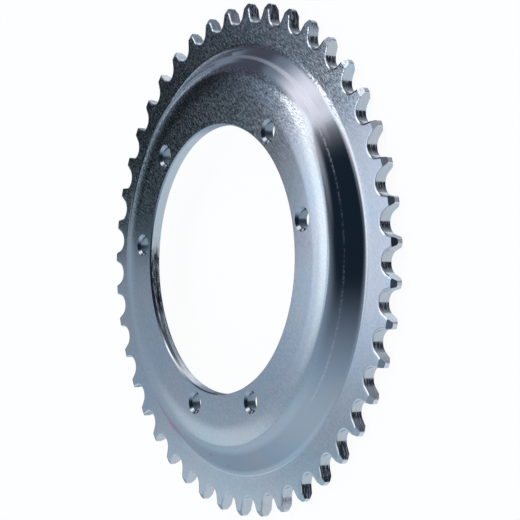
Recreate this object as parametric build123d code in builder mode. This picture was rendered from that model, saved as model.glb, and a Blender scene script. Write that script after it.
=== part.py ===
from build123d import *
import os
from math import acos, atan2, cos, degrees, hypot, radians, sin

# A rear chain sprocket pressed from one steel plate: a toothed ring, a conical web and a flat flange
# that stands in front of the ring. It lies on the rear face of its teeth, with its axis along +Z.

# Teeth for a half-inch chain
tooth_count = 43
chain_pitch = 12.7
seat_radius = 4.05
seat_angle = 137.9
flank_radius = 66.0
tip_height = 3.0
tip_bevel_width = 2.1
tip_bevel_depth = 1.2

# Pressed plate, whose flat ring reaches from the pitch circle in to the bend at the foot of the web
plate_thickness = 4.2
dish_depth = 8.3
ring_width = 11.0
bend_radius = 3.0
cone_angle = 45.0
crown_angle = 6.0
crown_bend_radius = 65.0

# Hub fit
bore_diameter = 94.0
bore_chamfer = 0.45
screw_margin = 6.0
hole_diameter = 6.3
countersink_diameter = 8.2
countersink_angle = 90.0
pair_count = 3
pair_spread = 40.0

# The chain's rollers lie on a circle that the pitch and the tooth count give
pitch_angle = 360 / tooth_count
pitch_radius = chain_pitch / (2 * sin(radians(pitch_angle / 2)))
tip_radius = pitch_radius + tip_height
bore_radius = bore_diameter / 2
screw_radius = bore_radius + screw_margin
flange_face = dish_depth + plate_thickness


def flank_sweep(centre, outer_radius):
    """Angle that a flank's arc turns from the end of the seat out to a given radius."""
    reach = hypot(centre.X, centre.Y)
    spread = degrees(acos((reach**2 + outer_radius**2 - flank_radius**2) / (2 * reach * outer_radius)))
    bearing = radians(degrees(atan2(centre.Y, centre.X)) - spread)
    end = Vector(outer_radius * cos(bearing), outer_radius * sin(bearing)) - centre
    return degrees(atan2(end.Y, end.X)) + seat_angle / 2


# One tooth space: the roller's seat, and two convex flanks that open past the tips
with BuildSketch() as tooth_space:
    half_seat = seat_angle / 2
    mouth_radius = tip_radius + chain_pitch / 8
    flank_reach = seat_radius + flank_radius
    flank_centre = Vector(
        pitch_radius - flank_reach * cos(radians(half_seat)),
        flank_reach * sin(radians(half_seat)),
    )
    with BuildLine():
        CenterArc((pitch_radius, 0), seat_radius, 180 - half_seat, seat_angle)
        flank = CenterArc(flank_centre, flank_radius, -half_seat, flank_sweep(flank_centre, mouth_radius))
        mirror(flank, about=Plane.XZ)
        mouth = flank @ 1
        Line(mouth, (mouth.X, -mouth.Y))
    make_face()

# The whole toothed outline, turned by half a pitch so that a tooth stands on +X
with BuildSketch(Plane.XY.rotated((0, 0, pitch_angle / 2))) as toothed_outline:
    Circle(tip_radius)
    with PolarLocations(0, tooth_count):
        add(tooth_space.sketch, mode=Mode.SUBTRACT)

# The cone's length is what the three bends leave of the dish's depth
foot_bend_radius = bend_radius + plate_thickness
foot_rise = foot_bend_radius * (1 - cos(radians(cone_angle)))
shoulder_rise = bend_radius * (cos(radians(crown_angle)) - cos(radians(cone_angle)))
crown_rise = crown_bend_radius * (1 - cos(radians(crown_angle)))
cone_length = (dish_depth - foot_rise - shoulder_rise - crown_rise) / sin(radians(cone_angle))

with BuildPart() as sprocket:
    # The section is the plate's rear surface, from the tips in to the bore, with the plate's thickness on it
    with BuildSketch(Plane.XZ) as plate_section:
        with BuildLine() as rear_surface:
            ring = Line((tip_radius, 0), (pitch_radius - ring_width, 0))
            foot = JernArc(ring @ 1, ring % 1, foot_bend_radius, -cone_angle)
            cone = Line(foot @ 1, foot @ 1 + (foot % 1) * cone_length)
            shoulder = JernArc(cone @ 1, cone % 1, bend_radius, cone_angle - crown_angle)
            crown = JernArc(shoulder @ 1, shoulder % 1, crown_bend_radius, crown_angle)
            Line(crown @ 1, (bore_radius, dish_depth))
            offset(rear_surface.wire(), amount=plate_thickness, side=Side.RIGHT, closed=True)
        make_face()
    revolve(axis=Axis.Z)

    # The bore is turned, with both edges broken
    bore_wall = sprocket.faces().filter_by(GeomType.CYLINDER).sort_by(SortBy.AREA)[0]
    chamfer(bore_wall.edges().filter_by(GeomType.CIRCLE), bore_chamfer)

    # The teeth are stamped through the ring
    extrude(toothed_outline.sketch, amount=flange_face, mode=Mode.INTERSECT)

    # Both faces are turned to a bevel at the tips
    with BuildSketch(Plane.XZ) as tip_bevels:
        for face_height, inward in ((0, 1), (plate_thickness, -1)):
            with BuildLine():
                Polyline(
                    (tip_radius - tip_bevel_width, face_height),
                    (tip_radius, face_height),
                    (tip_radius, face_height + inward * tip_bevel_depth),
                    close=True,
                )
            make_face()
    revolve(axis=Axis.Z, mode=Mode.SUBTRACT)

    # Six screw holes in three pairs, the first pair centred on +X
    for side in (-1, 1):
        with Locations((0, 0, flange_face)):
            with PolarLocations(screw_radius, pair_count, side * pair_spread / 2):
                CounterSinkHole(
                    radius=hole_diameter / 2,
                    counter_sink_radius=countersink_diameter / 2,
                    counter_sink_angle=countersink_angle,
                )

sprocket.part.label = "sprocket"

os.makedirs("parts", exist_ok=True)
export_step(sprocket.part, "parts/sprocket.step")
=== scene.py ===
import bmesh
import bpy
from math import acos, atan2, cos, pi, radians, sin
from mathutils import Matrix, Quaternion, Vector


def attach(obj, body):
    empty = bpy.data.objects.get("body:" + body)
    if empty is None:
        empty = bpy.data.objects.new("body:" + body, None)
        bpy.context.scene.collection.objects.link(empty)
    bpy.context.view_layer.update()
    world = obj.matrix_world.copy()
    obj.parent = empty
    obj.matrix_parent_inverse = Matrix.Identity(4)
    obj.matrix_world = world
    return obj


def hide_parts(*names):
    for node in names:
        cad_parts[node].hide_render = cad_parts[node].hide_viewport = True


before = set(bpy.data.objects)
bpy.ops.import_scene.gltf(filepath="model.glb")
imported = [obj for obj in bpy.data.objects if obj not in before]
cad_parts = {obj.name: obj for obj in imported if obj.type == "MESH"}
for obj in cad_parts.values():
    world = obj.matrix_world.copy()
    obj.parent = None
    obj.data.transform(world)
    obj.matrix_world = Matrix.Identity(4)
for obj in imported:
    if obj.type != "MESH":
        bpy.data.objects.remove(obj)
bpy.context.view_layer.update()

mm = 0.001
weld = 0.002 * mm       # vertices closer than this are one
uprightBelow = 0.5      # a face whose normal's z is smaller than this stands upright
zAxis = Vector((0, 0, 1))

# The sizes repeat those of the part's source, apart from the worn corners and edges, which are made only here
sprocketSizes = {
    "teeth": 43,
    "pitch": 12.7 * mm,
    "seatRadius": 4.05 * mm,
    "seatAngle": radians(137.9),
    "flankRadius": 66.0 * mm,
    "tipHeight": 3.0 * mm,
    "tipCorner": 0.45 * mm,     # the tips' corners are worn round
    "bevelWidth": 2.1 * mm,
    "bevelDepth": 1.2 * mm,
    "rollWidth": 0.7 * mm,      # the stamped front edge rolls over gently
    "rollDepth": 0.16 * mm,
    "frontEdge": 0.12 * mm,
    "rearEdge": 0.1 * mm,
    "plate": 4.2 * mm,
    "dish": 8.3 * mm,
    "ringWidth": 11.0 * mm,
    "bend": 3.0 * mm,
    "coneAngle": radians(45),
    "crownAngle": radians(6),
    "crownBend": 65.0 * mm,
    "boreRadius": 47.0 * mm,
    "boreChamfer": 0.45 * mm,
    "screwMargin": 6.0 * mm,
    "holeRadius": 3.15 * mm,
    "sinkRadius": 4.1 * mm,
    "holePairs": 3,
    "pairSpread": radians(40),
    "teethStart": 79.5 * mm,    # where the teeth's mesh meets the turned web
    "stepsPerTooth": 8,
    "seatSteps": 9,
    "flankSteps": 5,
    "cornerSteps": 4,
    "frontEdgeSteps": 3,
    "rearEdgeSteps": 1,
    "footSteps": 8,
    "shoulderSteps": 10,
    "crownSteps": 5,
    "holeSteps": 64,
    "sharpFrom": radians(34),
}
size = sprocketSizes
pitchAngle = 2 * pi / size["teeth"]
pitchRadius = size["pitch"] / (2 * sin(pitchAngle / 2))
tipRadius = pitchRadius + size["tipHeight"]
gulletBottom = pitchRadius - size["seatRadius"]
flangeFace = size["dish"] + size["plate"]
turnSteps = size["teeth"] * size["stepsPerTooth"]


def polar(radius, angle, height=0.0):
    return Vector((radius * cos(angle), radius * sin(angle), height))


def everything(bm):
    return bm.verts[:] + bm.edges[:] + bm.faces[:]


def atHeight(part, height):
    # whether every vertex of an edge or a face is at one height
    return all(abs(v.co.z - height) < weld for v in part.verts)


def straight(bm, vert, move):
    # draws a straight line on from a vertex, and gives its far end
    end = bmesh.ops.extrude_vert_indiv(bm, verts=[vert])["verts"][0]
    bmesh.ops.translate(bm, verts=[end], vec=move)
    return end


def arc(bm, vert, centre, axis, turn, steps):
    # draws an arc on from a vertex by sweeping it about the centre
    swept = bmesh.ops.spin(bm, geom=[vert], cent=centre, axis=axis, dvec=(0, 0, 0), angle=turn, steps=steps,
                           use_merge=False, use_normal_flip=False, use_duplicate=False)
    return swept["geom_last"][0]


def turnLine(bm, centre=(0, 0, 0), steps=turnSteps):
    # turns everything drawn so far once round an upright axis
    bmesh.ops.spin(bm, geom=bm.verts[:] + bm.edges[:], cent=centre, axis=zAxis, dvec=(0, 0, 0),
                   angle=2 * pi, steps=steps, use_merge=True, use_normal_flip=False, use_duplicate=False)


def addTo(bm, part):
    # joins one mesh in the making to another
    held = bpy.data.meshes.new("held")
    part.to_mesh(held)
    bm.from_mesh(held)
    part.free()
    bpy.data.meshes.remove(held)


def webSurface(face):
    # one side of the web, from the flat ring in to the crown of the flange; face is 0 behind and 1 in front
    cone, crown = size["coneAngle"], size["crownAngle"]
    plate = size["plate"] * face
    footBend = size["bend"] + size["plate"] * (1 - face)
    shoulderBend = size["bend"] + size["plate"] * face
    crownBend = size["crownBend"] + size["plate"] * face
    coneRise = (size["dish"]
                - (size["bend"] + size["plate"]) * (1 - cos(cone))
                - size["bend"] * (cos(crown) - cos(cone))
                - size["crownBend"] * (1 - cos(crown)))
    coneLength = coneRise / sin(cone)
    footStart = pitchRadius - size["ringWidth"]
    yAxis = Vector((0, 1, 0))
    bm = bmesh.new()
    vert = bm.verts.new((size["teethStart"], 0, plate))
    vert = straight(bm, vert, (footStart - size["teethStart"], 0, 0))
    vert = arc(bm, vert, (footStart, 0, plate + footBend), yAxis, cone, size["footSteps"])
    vert = straight(bm, vert, (-coneLength * cos(cone), 0, coneLength * sin(cone)))
    toCentre = Vector((-sin(cone), 0, -cos(cone))) * shoulderBend
    vert = arc(bm, vert, vert.co + toCentre, yAxis, crown - cone, size["shoulderSteps"])
    toCentre = Vector((-sin(crown), 0, -cos(crown))) * crownBend
    vert = arc(bm, vert, vert.co + toCentre, yAxis, -crown, size["crownSteps"])
    crownStart = vert.co.x
    turnLine(bm)
    return bm, crownStart


def boreSurface():
    bm = bmesh.new()
    broken = size["boreChamfer"]
    vert = bm.verts.new((size["boreRadius"] + broken, 0, flangeFace))
    vert = straight(bm, vert, (-broken, 0, -broken))
    vert = straight(bm, vert, (0, 0, 2 * broken - size["plate"]))
    straight(bm, vert, (broken, 0, -broken))
    turnLine(bm)
    return bm


def screwHole(angle):
    bm = bmesh.new()
    sink = size["sinkRadius"] - size["holeRadius"]
    centre = polar(size["boreRadius"] + size["screwMargin"], angle)
    vert = bm.verts.new(centre + Vector((size["sinkRadius"], 0, flangeFace)))
    vert = straight(bm, vert, (-sink, 0, -sink))
    straight(bm, vert, (0, 0, sink - size["plate"]))
    turnLine(bm, centre=centre, steps=size["holeSteps"])
    return bm


def fillFlange(bm, height, outer):
    # the flat flange, between the bore, the crown and the screw holes
    rims = [e for e in bm.edges if e.is_boundary and atHeight(e, height)
            and all(v.co.xy.length < outer + weld for v in e.verts)]
    bmesh.ops.triangle_fill(bm, edges=rims, use_beauty=True, use_dissolve=False, normal=zAxis)


def toothOutline(bm):
    # half of one tooth's outline, mirrored and filled; its neighbours meet it mid-gullet
    half = pitchAngle / 2
    roller = polar(pitchRadius, half)
    halfSeat = size["seatAngle"] / 2
    flankCentre = roller + polar(size["seatRadius"] + size["flankRadius"], half + pi + halfSeat)
    reach = flankCentre.length
    spread = acos((reach**2 + tipRadius**2 - size["flankRadius"]**2) / (2 * reach * tipRadius))
    corner = atan2(flankCentre.y, flankCentre.x) + spread
    tip = polar(tipRadius, corner) - flankCentre
    flankTurn = atan2(tip.y, tip.x) - (half + halfSeat)
    vert = bm.verts.new(polar(size["teethStart"], 0, size["plate"]))
    vert = arc(bm, vert, (0, 0, 0), zAxis, half, size["stepsPerTooth"] // 2)
    vert = straight(bm, vert, polar(gulletBottom - size["teethStart"], half))
    vert = arc(bm, vert, roller, zAxis, halfSeat, size["seatSteps"])
    vert = arc(bm, vert, flankCentre, zAxis, flankTurn, size["flankSteps"])
    arc(bm, vert, (0, 0, 0), zAxis, -corner, 1)
    bmesh.ops.mirror(bm, geom=bm.verts[:] + bm.edges[:], matrix=Matrix.Identity(4), merge_dist=weld, axis="Y")
    bmesh.ops.contextual_create(bm, geom=bm.edges[:])
    corners = [v for v in bm.verts if abs(v.co.xy.length - tipRadius) < weld and abs(v.co.y) > weld]
    bmesh.ops.bevel(bm, geom=corners, offset=size["tipCorner"], offset_type="OFFSET", affect="VERTICES",
                    segments=size["cornerSteps"], profile=0.5, clamp_overlap=False, material=-1)


def thickenTooth(bm):
    # grows the outline back by the plate's thickness, and opens it where it meets the web and its neighbours
    grown = bmesh.ops.extrude_face_region(bm, geom=bm.faces[:])["geom"]
    grown = [g for g in grown if isinstance(g, bmesh.types.BMVert)]
    bmesh.ops.translate(bm, verts=grown, vec=(0, 0, -size["plate"]))
    seams = [f for f in bm.faces if abs(f.normal.z) < uprightBelow or len(f.verts) == 4]
    seams = [f for f in seams if f.calc_center_median().xy.length < gulletBottom - weld]
    bmesh.ops.delete(bm, geom=seams, context="FACES")


def rollFrontEdge(bm):
    # lowers the front face's edge a little, all along the teeth
    front = [f for f in bm.faces if atHeight(f, size["plate"])]
    bmesh.ops.inset_region(bm, faces=front, thickness=size["rollWidth"], depth=0, use_boundary=False,
                           use_even_offset=True)
    rim = {v for e in bm.edges for v in e.verts
           if len(e.link_faces) == 2 and min(abs(f.normal.z) for f in e.link_faces) < uprightBelow
           and atHeight(e, size["plate"])}
    bmesh.ops.translate(bm, verts=list(rim), vec=(0, 0, -size["rollDepth"]))


def breakEdges(bm):
    rolledHeight = size["plate"] - size["rollDepth"]
    for height, edge, steps in ((rolledHeight, size["frontEdge"], size["frontEdgeSteps"]),
                                (0, size["rearEdge"], size["rearEdgeSteps"])):
        rim = [e for e in bm.edges if len(e.link_faces) == 2 and atHeight(e, height)]
        bmesh.ops.bevel(bm, geom=rim, offset=edge, offset_type="OFFSET", affect="EDGES", segments=steps,
                        profile=0.5, clamp_overlap=False, loop_slide=True, material=-1)


def bevelTip(bm):
    # cuts the tip off at a slant on both faces, and fills each cut
    for height, side in ((size["plate"], 1), (0, -1)):
        cut = bmesh.ops.bisect_plane(bm, geom=everything(bm), dist=weld / 10,
                                     plane_co=(tipRadius - size["bevelWidth"], 0, height),
                                     plane_no=(size["bevelDepth"], 0, size["bevelWidth"] * side),
                                     clear_outer=True, clear_inner=False)
        rim = [g for g in cut["geom_cut"] if isinstance(g, bmesh.types.BMEdge)]
        bmesh.ops.contextual_create(bm, geom=rim)
        for e in rim:
            e.smooth = False


def makeTeeth():
    bm = bmesh.new()
    toothOutline(bm)
    thickenTooth(bm)
    rollFrontEdge(bm)
    breakEdges(bm)
    bevelTip(bm)
    print("one tooth:", len(bm.verts), "vertices")
    bmesh.ops.spin(bm, geom=everything(bm), cent=(0, 0, 0), axis=zAxis, dvec=(0, 0, 0),
                   angle=2 * pi - pitchAngle, steps=size["teeth"] - 1, use_merge=False,
                   use_normal_flip=False, use_duplicate=True)
    return bm


def makeSprocket():
    bm = bmesh.new()
    addTo(bm, makeTeeth())
    for face in (0, 1):
        web, crownStart = webSurface(face)
        addTo(bm, web)
    addTo(bm, boreSurface())
    for pair in range(size["holePairs"]):
        for side in (-1, 1):
            addTo(bm, screwHole(2 * pi * pair / size["holePairs"] + side * size["pairSpread"] / 2))
    fillFlange(bm, flangeFace, crownStart)
    fillFlange(bm, size["dish"], crownStart)
    bmesh.ops.remove_doubles(bm, verts=bm.verts[:], dist=weld)
    bmesh.ops.recalc_face_normals(bm, faces=bm.faces[:])
    for e in bm.edges:
        if e.calc_face_angle(0) > size["sharpFrom"]:
            e.smooth = False
    for f in bm.faces:
        f.smooth = True
    openEdges = sum(not e.is_manifold for e in bm.edges)
    print("sprocket:", len(bm.verts), "vertices,", len(bm.faces), "faces,", openEdges, "open edges")
    mesh = bpy.data.meshes.new("sprocketBody")
    bm.to_mesh(mesh)
    bm.free()
    body = bpy.data.objects.new("sprocketBody", mesh)
    bpy.context.scene.collection.objects.link(body)
    normals = body.modifiers.new("evenNormals", "WEIGHTED_NORMAL")
    normals.keep_sharp = True
    return body


cameraSettings = {
    "place": (-463.346, -219.384, 334.066),    # mm
    "aim": (-7.317, -3.418, 0.0),
    "roll": radians(-89.285),
    "lens": 119.783,
    "sensor": 36.0,
    "sees": (0.01, 20),                        # metres, from the nearest to the farthest
}


def makeCamera():
    data = bpy.data.cameras.new("photoCamera")
    data.lens = cameraSettings["lens"]
    data.sensor_width = cameraSettings["sensor"]
    data.clip_start, data.clip_end = cameraSettings["sees"]
    camera = bpy.data.objects.new("photoCamera", data)
    bpy.context.scene.collection.objects.link(camera)
    place = Vector(cameraSettings["place"]) * mm
    aim = Vector(cameraSettings["aim"]) * mm
    roll = Quaternion(zAxis, cameraSettings["roll"])
    camera.rotation_mode = "QUATERNION"
    camera.rotation_quaternion = (aim - place).to_track_quat("-Z", "Y") @ roll
    camera.location = place
    bpy.context.scene.camera = camera
    print("camera:", round((aim - place).length / mm), "mm away")
    return camera


# A pair of values is where a soft step starts and ends, and a band is two of them, one up and one down. Bands,
# From and Until are radii in mm. Facing is 1 on the flat faces and 0 on upright walls. Reach is the cosine of
# the angle to a side. Spread is a stretch of the noise's own values.
metalSettings = {
    "colour": (0.62, 0.66, 0.70, 1),
    "coolTint": (0.57, 0.655, 0.72, 1),
    "warmTint": (0.665, 0.655, 0.685, 1),
    "tintPatch": 26.0,          # mm across
    "tintAmount": 0.55,
    "coolAbove": (0.45, 0.62),
    "warmBelow": (0.40, 0.55),
    "frontFacing": (0.1, 0.4),
    "flatFacing": (0.975, 0.998),
    "wallFacing": (0.15, 0.5),
    "rollingTurn": radians(-10),
    "streakSize": (2.4, 0.42, 0.42),    # mm, along the rolling first
    "streakDepth": 0.03,
    "streakFacing": (0.6, 0.99),
    "streakLeast": 0.25,
    "grainSide": radians(-50),  # the grain is strongest on this side of the plate
    "grainReach": (18.0, 45.0),  # mm, from the faintest to the strongest
    "grainLeast": 0.09,
    "grainSize": (1.3, 0.29, 0.27),
    "grainShade": 5.0,
    "grainFacing": (0.76, 0.93),
    "grainDarkest": 0.25,
    "crystalSize": 0.42,
    "crystalDepth": 0.007,
    "waveSize": 9.0,
    "waveDepth": 0.006,
    "mottleSpread": (0.3, 0.7),
    "mottleShade": 0.03,
    "rolledRoughness": 0.12,
    "drawnRoughness": 0.11,
    "roughnessSpread": 0.09,
    "boreUntil": (47.6, 48.0),
    "boreFacing": (0.8, 0.95),
    "boreSide": radians(52),    # where the bore's turning marks get painted dark and bright streaks, standing in for reflections
    "boreReach": (0.8, 0.95),
    "boreStreakReflection": (0.45, 1.35),  # from the darkest to the brightest painted reflection streak on the turning marks
    "turnedSize": (0.9, 0.9, 0.8),
    "turnedDepth": 0.04,
    "turnedSpread": (0.42, 0.58),
    "holeBand": ((48.5, 49.0), (57.0, 58.0)),
    "holeRoughness": 0.3,
    # painted shade: the screw holes' walls are coloured darker and cooler than the plating, standing in for
    # shade inside the holes
    "holePaintedShade": (0.29, 0.36, 0.42, 1),
    "toothFrom": (78.0, 79.0),
    "shearSize": (3.5, 3.5, 0.45),
    "shearDepth": 0.012,
    "shearSpread": (0.42, 0.66),
    "wallRoughness": (0.11, 0.36),
    "tipFrom": (89.4, 89.8),
    "tipRoughness": 0.42,
    "tipShade": (0.86, 0.86, 0.88, 1),
    "rimBand": ((79.5, 80.0), (87.7, 87.9)),
    "rimFacing": ((0.5, 0.75), (0.975, 0.99)),
    # the rolled front edge of the teeth is coloured brighter, partly as polished plating and partly as a
    # painted highlight along the edge
    "rimPaintedHighlight": (0.97, 0.97, 0.98, 1),
    "scuffBand": ((70.1, 70.7), (71.2, 71.8)),
    "scuffSide": radians(-80),  # where a rougher ring runs round the cone, its brighter colour a painted highlight line
    "scuffReach": (0.68, 0.95),
    "scuffRoughness": 0.34,
    # painted highlight: the brighter colour of the cone's rougher ring, also given to the broken scratch
    "scuffPaintedHighlight": (0.86, 0.86, 0.90, 1),
    "scratchBand": ((69.6, 69.9), (70.05, 70.35)),
    "scratchSide": radians(-150),
    "scratchReach": (0.6, 0.85),
    "scratchSize": 1.1,         # mm, its broken pieces
    "scratchSpread": (0.38, 0.58),
    "scratchAmount": (0.25, 0.9),
    "foldBand": ((73.6, 74.8), (75.8, 77.2)),
    "foldSide": radians(72),    # a pink stain beside the foot
    "foldReach": (0.955, 0.99),
    "foldTint": (0.62, 0.40, 0.54, 1),
}


def newNode(tree, kind, **values):
    # adds a node; values name its own properties, or its inputs by number as in1, or its inputs by name
    made = tree.nodes.new("ShaderNode" + kind)
    for name, value in values.items():
        if name[:2] == "in" and name[2:].isdigit():
            socket = made.inputs[int(name[2:])]
        elif name in made.inputs:
            socket = made.inputs[name]
        else:
            setattr(made, name, value)
            continue
        if isinstance(value, bpy.types.NodeSocket):
            tree.links.new(value, socket)
        else:
            socket.default_value = value
    return made


def calculate(tree, operation, first, second=0.0, third=0.0):
    return newNode(tree, "Math", operation=operation, in0=first, in1=second, in2=third).outputs[0]


def product(tree, value, *others):
    for other in others:
        value = calculate(tree, "MULTIPLY", value, other)
    return value


def between(tree, value, low, high, toLow=0.0, toHigh=1.0):
    # a soft step as the value goes from low to high
    return newNode(tree, "MapRange", interpolation_type="SMOOTHSTEP", in0=value, in1=low, in2=high,
                   in3=toLow, in4=toHigh).outputs[0]


def below(tree, value, low, high):
    # the same step downwards
    return between(tree, value, low, high, 1.0, 0.0)


def inBand(tree, value, rise, fall):
    return product(tree, between(tree, value, *rise), below(tree, value, *fall))


def onSide(tree, around, side, reach):
    # a step on the cosine of the angle to one side of the sprocket
    return between(tree, calculate(tree, "COSINE", calculate(tree, "SUBTRACT", around, side)), *reach)


def blendValues(tree, mask, under, over):
    return newNode(tree, "Mix", data_type="FLOAT", in0=mask, in2=under, in3=over).outputs[0]


def blendColours(tree, mask, under, over):
    return newNode(tree, "Mix", data_type="RGBA", in0=mask, in6=under, in7=over).outputs[2]


def makeMarksGroup():
    # uneven marks of a given size along each axis, as a mask about a half and a height about zero
    group = bpy.data.node_groups.new("surfaceMarks", "ShaderNodeTree")
    face = group.interface
    face.new_socket("Place", in_out="INPUT", socket_type="NodeSocketVector")
    face.new_socket("Size", in_out="INPUT", socket_type="NodeSocketVector")
    face.new_socket("Depth", in_out="INPUT", socket_type="NodeSocketFloat")
    face.new_socket("Detail", in_out="INPUT", socket_type="NodeSocketFloat")
    face.new_socket("Mask", in_out="OUTPUT", socket_type="NodeSocketFloat")
    face.new_socket("Height", in_out="OUTPUT", socket_type="NodeSocketFloat")
    given = group.nodes.new("NodeGroupInput").outputs
    shrunk = newNode(group, "VectorMath", operation="DIVIDE", in0=given["Place"], in1=given["Size"]).outputs[0]
    noise = newNode(group, "TexNoise", Vector=shrunk, Scale=1.0, Detail=given["Detail"],
                    Roughness=0.55).outputs[0]
    centred = calculate(group, "SUBTRACT", noise, 0.5)
    result = group.nodes.new("NodeGroupOutput").inputs
    group.links.new(noise, result["Mask"])
    group.links.new(product(group, centred, given["Depth"]), result["Height"])
    return group


def marks(tree, place, across, depth=1.0, detail=2.0):
    # places the group of marks, and gives its outputs, Mask and Height
    made = newNode(tree, "Group", node_tree=bpy.data.node_groups["surfaceMarks"])
    for name, value in (("Place", place), ("Size", across), ("Depth", depth), ("Detail", detail)):
        if isinstance(value, bpy.types.NodeSocket):
            tree.links.new(value, made.inputs[name])
        else:
            made.inputs[name].default_value = value
    return made.outputs


def makeMetal():
    look = metalSettings
    material = bpy.data.materials.new("zincPlatedSteel")
    material.use_nodes = True
    tree = material.node_tree
    shader = tree.nodes["Principled BSDF"]
    shader.inputs["Metallic"].default_value = 1

    # where on the sprocket, in millimetres: its radius, its height and the way round
    here = newNode(tree, "TexCoord").outputs["Object"]
    place = newNode(tree, "VectorMath", operation="SCALE", in0=here, Scale=1 / mm).outputs[0]
    parts = newNode(tree, "SeparateXYZ", in0=place).outputs
    flat = newNode(tree, "CombineXYZ", in0=parts["X"], in1=parts["Y"]).outputs[0]
    radius = newNode(tree, "VectorMath", operation="LENGTH", in0=flat).outputs["Value"]
    around = calculate(tree, "ARCTAN2", parts["Y"], parts["X"])
    normal = newNode(tree, "NewGeometry").outputs["Normal"]
    upward = newNode(tree, "SeparateXYZ", in0=normal).outputs["Z"]
    facing = calculate(tree, "ABSOLUTE", upward)

    # masks for the rolled flats, the walls and lands of the teeth, the bore and the screw holes
    front = between(tree, upward, *look["frontFacing"])
    rolled = between(tree, facing, *look["flatFacing"])
    wall = below(tree, facing, *look["wallFacing"])
    toothWall = product(tree, wall, between(tree, radius, *look["toothFrom"]))
    tipLand = product(tree, wall, between(tree, radius, *look["tipFrom"]))
    holeWall = product(tree, wall, inBand(tree, radius, *look["holeBand"]))
    boreWall = product(tree, below(tree, radius, *look["boreUntil"]), below(tree, facing, *look["boreFacing"]))
    # the rolled front edge, whose brighter colour below is partly a painted highlight line
    rim = product(tree, inBand(tree, facing, *look["rimFacing"]), inBand(tree, radius, *look["rimBand"]))

    # masks for a rougher ring on the cone, whose brighter colour is a painted highlight line, a broken scratch
    # that shares that colour, and the stain, all on the front
    scuff = product(tree, inBand(tree, radius, *look["scuffBand"]),
                    onSide(tree, around, look["scuffSide"], look["scuffReach"]))
    broken = marks(tree, place, (look["scratchSize"],) * 3)["Mask"]
    scratch = product(tree, inBand(tree, radius, *look["scratchBand"]),
                      between(tree, broken, *look["scratchSpread"], *look["scratchAmount"]),
                      onSide(tree, around, look["scratchSide"], look["scratchReach"]))
    scuff = product(tree, calculate(tree, "MAXIMUM", scuff, scratch), front)
    fold = product(tree, inBand(tree, radius, *look["foldBand"]),
                   onSide(tree, around, look["foldSide"], look["foldReach"]), front)

    # heights in millimetres: rolled streaks, crystals, slow waves, turning marks and shear marks
    along = newNode(tree, "Mapping", Vector=place, Rotation=(0, 0, -look["rollingTurn"])).outputs[0]
    streak = marks(tree, along, look["streakSize"], look["streakDepth"])
    crystal = marks(tree, place, (look["crystalSize"],) * 3, look["crystalDepth"], 3.0)
    wave = marks(tree, place, (look["waveSize"],) * 3, look["waveDepth"], 1.0)
    ringPlace = newNode(tree, "CombineXYZ", in0=radius, in1=parts["Z"], in2=around).outputs[0]
    turned = marks(tree, ringPlace, look["turnedSize"], look["turnedDepth"], 3.0)
    sheared = marks(tree, place, look["shearSize"], look["shearDepth"], 3.0)
    streakAmount = between(tree, facing, *look["streakFacing"], look["streakLeast"], 1.0)
    towards = (cos(look["grainSide"]), sin(look["grainSide"]), 0)
    lean = newNode(tree, "VectorMath", operation="DOT_PRODUCT", in0=place, in1=towards).outputs["Value"]
    grainAmount = between(tree, lean, *look["grainReach"], look["grainLeast"], 1.0)
    height = calculate(tree, "MULTIPLY_ADD", streak["Height"], streakAmount, crystal["Height"])
    height = calculate(tree, "MULTIPLY_ADD", height, grainAmount, wave["Height"])
    height = calculate(tree, "MULTIPLY_ADD", turned["Height"], boreWall, height)
    height = calculate(tree, "MULTIPLY_ADD", sheared["Height"], toothWall, height)
    relief = newNode(tree, "Bump", Height=height, Distance=mm, Strength=1.0).outputs["Normal"]
    tree.links.new(relief, shader.inputs["Normal"])

    # roughness by region, uneven like the plating
    roughness = between(tree, rolled, 0.0, 1.0, look["drawnRoughness"], look["rolledRoughness"])
    wallRoughness = between(tree, sheared["Mask"], *look["shearSpread"], *look["wallRoughness"])
    for mask, value in ((wall, wallRoughness), (tipLand, look["tipRoughness"]),
                        (holeWall, look["holeRoughness"]), (scuff, look["scuffRoughness"])):
        roughness = blendValues(tree, mask, roughness, value)
    uneven = product(tree, calculate(tree, "SUBTRACT", streak["Mask"], 0.5), look["roughnessSpread"])
    tree.links.new(calculate(tree, "ADD", roughness, uneven), shader.inputs["Roughness"])

    # colour: the faint blue and pink patches of the passivation, then the colour of each region: painted shade
    # on the screw holes' walls, a brighter rolled edge and cone ring that are partly painted highlights, and
    # the pink stain
    patch = marks(tree, place, (look["tintPatch"],) * 3)["Mask"]
    cool = product(tree, between(tree, patch, *look["coolAbove"]), look["tintAmount"])
    warm = product(tree, below(tree, patch, *look["warmBelow"]), look["tintAmount"])
    colour = look["colour"]
    for mask, tint in ((cool, look["coolTint"]), (warm, look["warmTint"]), (tipLand, look["tipShade"]),
                       (holeWall, look["holePaintedShade"]), (rim, look["rimPaintedHighlight"]), (fold, look["foldTint"]),
                       (scuff, look["scuffPaintedHighlight"])):
        colour = blendColours(tree, mask, colour, tint)

    # brightness: a fine mottle, the rolled grain, and painted dark and bright reflection streaks along the
    # bore's turning marks on one side
    mottle = between(tree, streak["Mask"], *look["mottleSpread"], 1 - look["mottleShade"],
                     1 + look["mottleShade"])
    mottle = blendValues(tree, rolled, 1.0, mottle)
    grain = marks(tree, along, look["grainSize"], look["grainShade"], 3.0)["Height"]
    grain = product(tree, grain, grainAmount, between(tree, facing, *look["grainFacing"]))
    grain = calculate(tree, "MAXIMUM", calculate(tree, "ADD", grain, 1.0), look["grainDarkest"])
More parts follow.
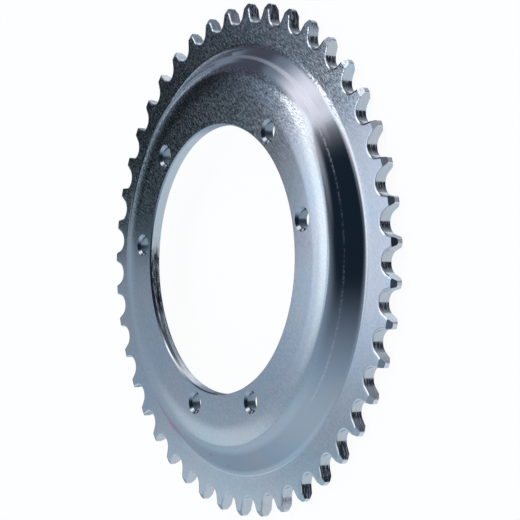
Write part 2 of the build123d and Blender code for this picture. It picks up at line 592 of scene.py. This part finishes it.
    # painted reflection: on one side the bore's turning marks are coloured in dark and bright streaks, while
    # their bump is the real turning
    paintedBoreReflection = product(tree, boreWall, onSide(tree, around, look["boreSide"], look["boreReach"]))
    boreReflectionLines = between(tree, turned["Mask"], *look["turnedSpread"], *look["boreStreakReflection"])
    boreReflectionLines = blendValues(tree, paintedBoreReflection, 1.0, boreReflectionLines)
    shade = product(tree, mottle, grain, boreReflectionLines)
    colour = newNode(tree, "VectorMath", operation="SCALE", in0=colour, Scale=shade).outputs[0]
    tree.links.new(colour, shader.inputs["Base Color"])
    print("metal:", len(tree.nodes), "nodes")
    return material


# Soft lights and dark cards of the studio, laid over each other in this order on two discs, one to the left of
# the picture and one to the right: across goes towards the camera, up goes up, and 1 is a quarter turn away.
# The left ones were fitted to what the metal reflects in the photograph, and the right ones given one by one.
leftCards = [
    # name, (across, up), half size, turn, soft edge, colour
    ("glowBelow", (-0.097, -0.57), (1.30, 0.625), -0.50, 0.87, (0.454, 0.574, 0.684)),
    ("darkByCamera", (1.354, 0.331), (1.156, 1.80), 0.843, 0.495, (0.010, 0.020, 0.034)),
    ("darkCardBehind", (-0.463, 0.53), (0.283, 0.349), -0.07, 0.30, (0.086, 0.086, 0.115)),
    ("darkStripBehind", (-0.576, 0.094), (0.857, 0.075), -0.133, 0.365, (0.003, 0.022, 0.018)),
    ("gapBehind", (-0.633, 0.24), (0.395, 0.07), 1.725, 0.987, (0.544, 0.641, 0.742)),
    ("softBox", (0.056, 0.387), (0.213, 0.63), -0.598, 0.30, (1.264, 1.354, 1.45)),
    ("bounceAbove", (-0.078, 1.167), (1.329, 0.362), -0.927, 1.0, (1.325, 1.319, 1.45)),
    ("bounceLow", (-0.382, -0.202), (0.184, 0.096), -0.673, 0.527, (0.657, 0.758, 0.841)),
    ("softBoxFoot", (0.184, 0.267), (0.415, 0.138), -2.146, 0.866, (0.928, 0.964, 1.033)),
    ("softBoxSide", (-0.316, 0.047), (0.08, 0.141), -0.212, 0.70, (0.861, 0.953, 1.131)),
    ("darkCardFoot", (-0.459, 0.18), (0.109, 0.189), -0.177, 0.478, (0.003, 0.003, 0.004)),
    ("softBoxLow", (0.057, -0.01), (0.248, 0.108), 0.339, 0.674, (0.71, 0.808, 0.927)),
]
rightCards = [
    ("paleFar", (-0.90, 0.40), (0.40, 0.30), 0.0, 0.6, (0.42, 0.50, 0.58)),
    ("glowAbove", (-0.70, 0.68), (0.35, 0.28), 0.0, 0.7, (0.92, 0.96, 1.02)),
    ("greyAbove", (-0.16, 0.80), (0.38, 0.30), 0.0, 0.6, (0.25, 0.28, 0.32)),
    ("shadeAbove", (0.10, 0.58), (0.26, 0.40), 0.60, 0.8, (0.075, 0.082, 0.105)),
    ("darkByLens", (0.31, 0.26), (0.24, 0.45), 0.30, 0.16, (0.026, 0.030, 0.042)),
    ("darkNearLens", (1.0, 0.15), (0.40, 0.60), 0.0, 0.3, (0.025, 0.035, 0.045)),
]
studioSettings = {
    "spaceLeft": (0.214, 0.26, 0.334),
    "spaceRight": (0.68, 0.74, 0.80),
    "discsMeet": (-0.05, 0.15),
    "seenByCamera": (1.0, 1.0, 1.0),
    "floorWhite": 0.93,
    "floorShade": (0.16, 0.16, 0.16),
    "floorSize": 6.0,           # metres, half its width
}


def layCards(tree, disc, light, cards):
    for name, place, halfSize, turn, softEdge, colour in cards:
        card = newNode(tree, "Mapping", vector_type="TEXTURE", Vector=disc, Location=(*place, 0),
                       Rotation=(0, 0, turn), Scale=(*halfSize, 1), label=name)
        fade = newNode(tree, "TexGradient", gradient_type="SPHERICAL", Vector=card.outputs[0]).outputs["Fac"]
        light = blendColours(tree, between(tree, fade, 0.0, softEdge), light, (*colour, 1))
    return light


def makeWorld(camera):
    # the metal sees the lights and cards, turned with the camera, and the camera sees plain white
    world = bpy.data.worlds.new("studio")
    bpy.context.scene.world = world
    world.use_nodes = True
    tree = world.node_tree
    looking = newNode(tree, "TexCoord").outputs["Generated"]
    looking = newNode(tree, "Mapping", vector_type="TEXTURE", Vector=looking,
                      Rotation=camera.rotation_quaternion.to_euler()).outputs[0]
    parts = newNode(tree, "SeparateXYZ", in0=looking).outputs
    disc = newNode(tree, "CombineXYZ", in0=parts["Z"], in1=parts["Y"]).outputs[0]
    left = layCards(tree, disc, (*studioSettings["spaceLeft"], 1), leftCards)
    right = layCards(tree, disc, (*studioSettings["spaceRight"], 1), rightCards)
    light = blendColours(tree, between(tree, parts["X"], *studioSettings["discsMeet"]), left, right)
    rays = newNode(tree, "LightPath").outputs
    light = blendColours(tree, rays["Is Camera Ray"], light, (*studioSettings["seenByCamera"], 1))
    tree.links.new(light, tree.nodes["Background"].inputs["Color"])
    print("studio:", len(leftCards) + len(rightCards), "lights and cards")


def makeFloor():
    # the floor looks white and takes the sprocket's shadow; the metal's mirror images leave it out
    bm = bmesh.new()
    bmesh.ops.create_grid(bm, x_segments=1, y_segments=1, size=studioSettings["floorSize"])
    mesh = bpy.data.meshes.new("paleFloor")
    bm.to_mesh(mesh)
    bm.free()
    floor = bpy.data.objects.new("paleFloor", mesh)
    bpy.context.scene.collection.objects.link(floor)
    material = bpy.data.materials.new("paleFloor")
    material.use_nodes = True
    tree = material.node_tree
    shader = tree.nodes["Principled BSDF"]
    shader.inputs["Base Color"].default_value = (*studioSettings["floorShade"], 1)
    shader.inputs["Roughness"].default_value = 1
    shader.inputs["Specular IOR Level"].default_value = 0
    shader.inputs["Emission Color"].default_value = (1, 1, 1, 1)
    rays = newNode(tree, "LightPath").outputs
    seen = calculate(tree, "MAXIMUM", rays["Is Camera Ray"], rays["Is Glossy Ray"])
    seen = calculate(tree, "MAXIMUM", seen, rays["Is Transmission Ray"])
    tree.links.new(product(tree, seen, studioSettings["floorWhite"]), shader.inputs["Emission Strength"])
    mesh.materials.append(material)
    floor.visible_glossy = False


camera = makeCamera()
body = makeSprocket()
makeMarksGroup()
body.data.materials.append(makeMetal())
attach(body, "root")
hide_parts("sprocket")
makeWorld(camera)
makeFloor()
bpy.context.scene.view_settings.view_transform = "Standard"
print("scene done")
